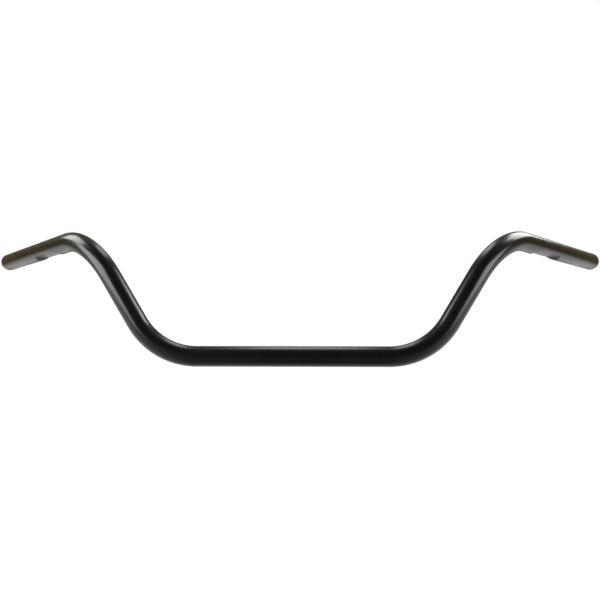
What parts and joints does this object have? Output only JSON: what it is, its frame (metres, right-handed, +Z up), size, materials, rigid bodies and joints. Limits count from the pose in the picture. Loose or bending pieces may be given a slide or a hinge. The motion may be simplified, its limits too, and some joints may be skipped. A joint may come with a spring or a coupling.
{
  "type": "motorcycle handlebar",
  "caption": "Bent one-piece steel handlebar with raised, swept-back grips, a cable dimple under each grip and a press-in plug in each end.",
  "frame": {"origin": "middle of the clamp zone, on the tube's axis", "axes": "+X along the clamp zone to the rider's left, the clutch side; +Y back towards the rider; +Z up, in the plane of the two lower bends"},
  "size_m": [0.9432, 0.2243, 0.1766],
  "materials": {
    "powder_coat": "smooth satin to semi-gloss black coat over steel tube",
    "plug_plastic": "fine moulded black plastic"
  },
  "bodies": {
    "bar": {"handlebar_tube": "powder_coat"},
    "clutch_side_plug": {"clutch_side_end_plug": "plug_plastic"},
    "throttle_side_plug": {"throttle_side_end_plug": "plug_plastic"}
  },
  "joints": [
    {"name": "clutch_side_plug_pull", "type": "slide", "parent": "bar", "child": "clutch_side_plug", "axis": [0.7071, 0.7071, 0], "range_m": [0, 0.03]},
    {"name": "throttle_side_plug_pull", "type": "slide", "parent": "bar", "child": "throttle_side_plug", "axis": [-0.7071, 0.7071, 0], "range_m": [0, 0.03]}
  ]
}
